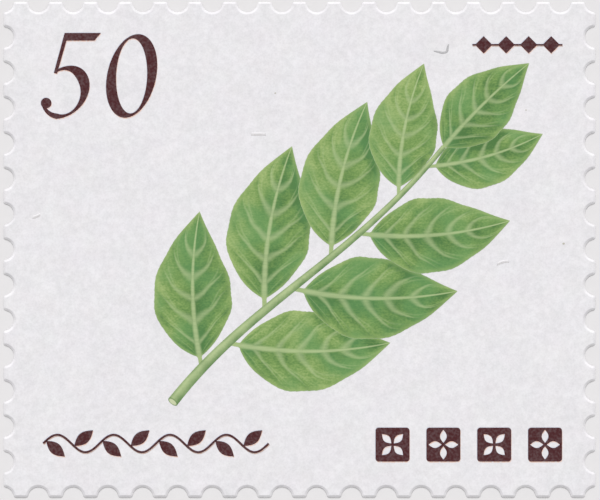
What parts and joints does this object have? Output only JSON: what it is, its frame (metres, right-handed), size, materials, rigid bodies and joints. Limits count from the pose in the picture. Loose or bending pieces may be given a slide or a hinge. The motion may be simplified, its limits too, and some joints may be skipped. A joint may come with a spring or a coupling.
{
  "type": "postage stamp",
  "caption": "Self-adhesive postage stamp: a thin paper rectangle with a toothed die-cut edge, printed with a leafy sprig, a value and small ornaments.",
  "frame": {"origin": "centre of the stamp's outline, on the underside of the adhesive, which is the surface it is stuck to", "axes": "+X to the right of the picture, +Y to the top of the picture, +Z out of the printed face"},
  "size_m": [0.03, 0.025, 0.0001],
  "materials": {
    "paper": "matt uncoated white stamp paper",
    "adhesive": "clear, slightly glossy pressure-sensitive adhesive",
    "green_ink": "matt offset ink, leaf green",
    "brown_ink": "matt offset ink, dark red-brown"
  },
  "bodies": {
    "root": {"adhesive_layer": "adhesive", "face_paper": "paper", "printed_sprig": "green_ink", "printed_numeral_five": "brown_ink", "printed_numeral_zero": "brown_ink", "printed_vine": "brown_ink", "printed_tile_1": "brown_ink", "printed_tile_2": "brown_ink", "printed_tile_3": "brown_ink", "printed_tile_4": "brown_ink", "printed_beaded_rule": "brown_ink"}
  },
  "joints": []
}
